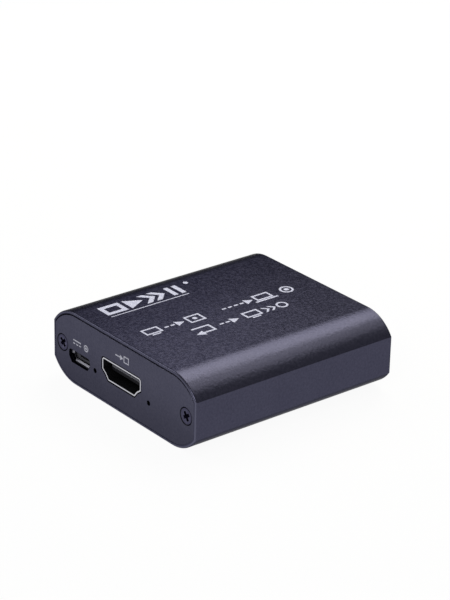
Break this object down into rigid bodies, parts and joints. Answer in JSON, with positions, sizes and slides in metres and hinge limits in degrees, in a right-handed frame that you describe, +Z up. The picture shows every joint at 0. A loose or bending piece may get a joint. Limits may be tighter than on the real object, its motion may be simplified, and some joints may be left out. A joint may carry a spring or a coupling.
{
  "type": "video capture box",
  "caption": "Small metal video capture box: extruded tube case, screwed end plates, a video input and power socket in front, a loop output and data socket behind.",
  "frame": {"origin": "middle of the footprint, on the surface that the box stands on", "axes": "+Z up, front plate with the video input towards -Y, +X to the right as seen from the front"},
  "size_m": [0.054, 0.0574, 0.0184],
  "materials": {
    "case_black": "bead-blasted, black anodised",
    "plate_black": "fine satin, black anodised",
    "screw_black": "black oxide",
    "board_green": "glossy solder mask",
    "socket_steel": "nickel-plated sheet",
    "socket_black": "moulded, satin",
    "contact_gold": "gold flash",
    "light_white": "moulded",
    "light_lens": "clear resin",
    "chip_black": "moulded, matte",
    "lead_tin": "tinned",
    "crystal_can": "plated lid",
    "ferrite_grey": "pressed ferrite",
    "can_aluminium": "drawn can",
    "capacitor_tan": "fired ceramic",
    "resistor_dark": "glazed",
    "fuse_green": "laminated polymer"
  },
  "bodies": {
    "root": {"case_tube": "case_black", "front_plate": "plate_black", "rear_plate": "plate_black", "front_plate_screws": "screw_black", "rear_plate_screws": "screw_black", "circuit_board": "board_green", "video_in_shell": "socket_steel", "video_in_insulator": "socket_black", "video_in_contacts": "contact_gold", "loop_out_shell": "socket_steel", "loop_out_insulator": "socket_black", "loop_out_contacts": "contact_gold", "data_socket_shell": "socket_steel", "data_socket_insulator": "socket_black", "data_socket_contacts": "contact_gold", "power_socket_shell": "socket_steel", "power_socket_insulator": "socket_black", "power_socket_contacts": "contact_gold", "indicator_light_bodies": "light_white", "indicator_light_lenses": "light_lens", "capture_chip": "chip_black", "capture_chip_leads": "lead_tin", "loop_chip": "chip_black", "memory_chip": "chip_black", "memory_chip_leads": "lead_tin", "voltage_regulators": "chip_black", "regulator_leads": "lead_tin", "clock_crystals": "crystal_can", "power_inductors": "ferrite_grey", "bulk_capacitor_bases": "chip_black", "bulk_capacitor_cans": "can_aluminium", "ceramic_capacitors": "capacitor_tan", "chip_resistors": "resistor_dark", "surge_arrays": "chip_black", "resettable_fuse": "fuse_green"}
  },
  "joints": []
}
